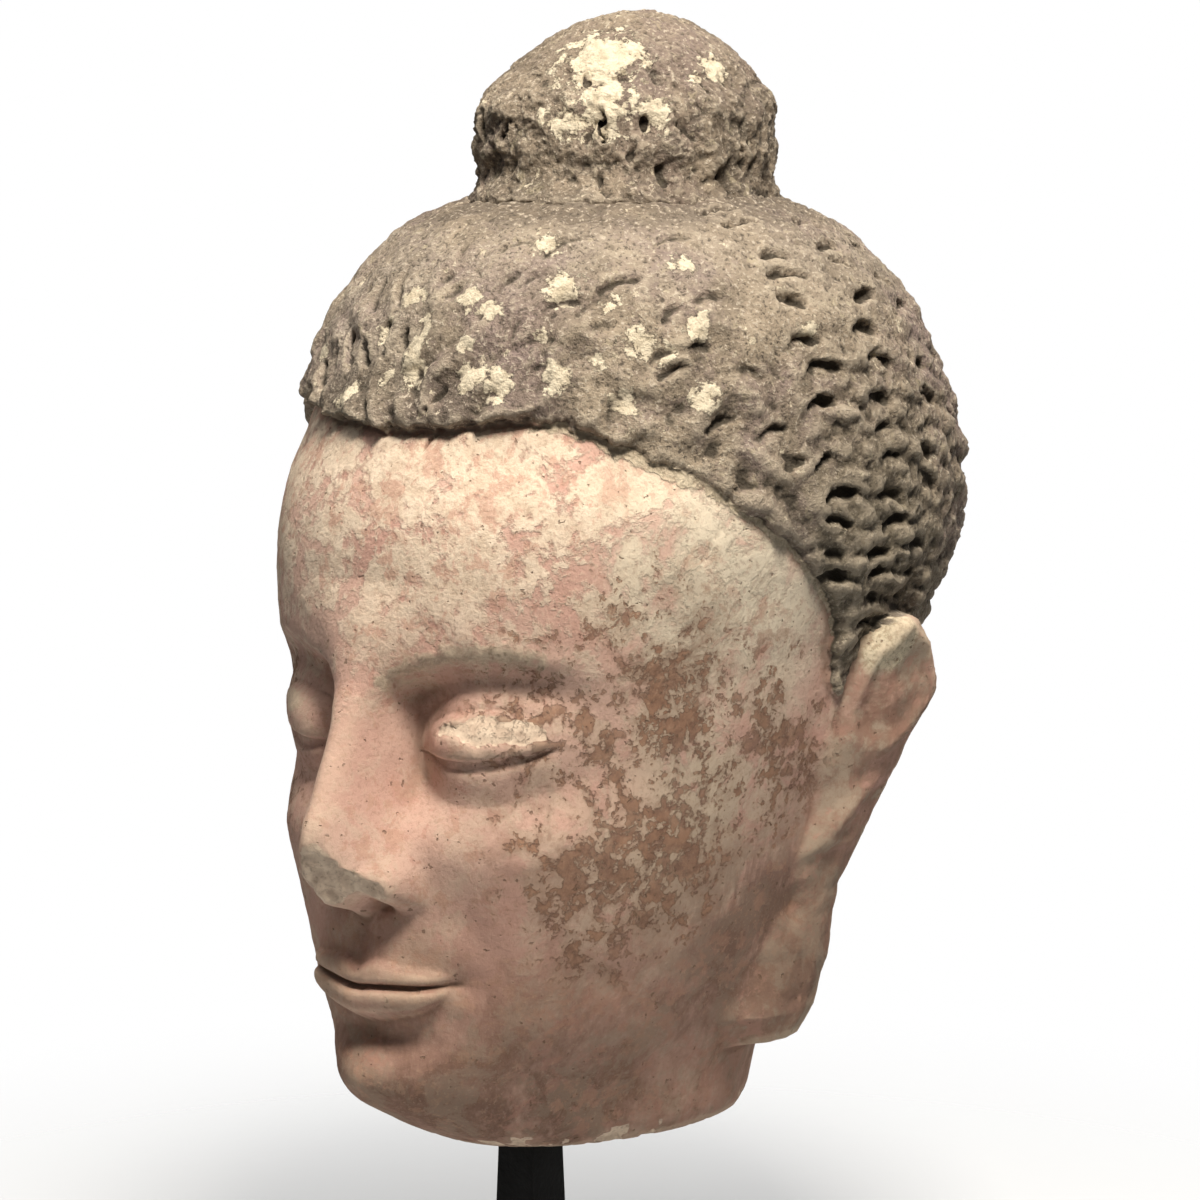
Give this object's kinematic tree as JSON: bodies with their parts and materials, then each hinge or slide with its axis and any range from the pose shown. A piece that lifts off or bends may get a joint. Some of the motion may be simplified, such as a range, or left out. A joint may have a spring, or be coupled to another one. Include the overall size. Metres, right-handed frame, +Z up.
{
  "type": "head sculpture on stand",
  "caption": "Painted clay head with wavy hair and a topknot, broken off under the chin, held on a square post with a flat foot.",
  "frame": {"origin": "centre of the foot's underside, where the stand rests", "axes": "+Z up, the face looks towards -Y, the figure's left is +X"},
  "size_m": [0.19, 0.2306, 0.4096],
  "materials": {
    "painted_clay": "matte, worn paint over clay, dark hair",
    "black_steel": "satin black paint"
  },
  "bodies": {
    "root": {"head": "painted_clay", "mount_post": "black_steel", "mount_foot": "black_steel"}
  },
  "joints": []
}
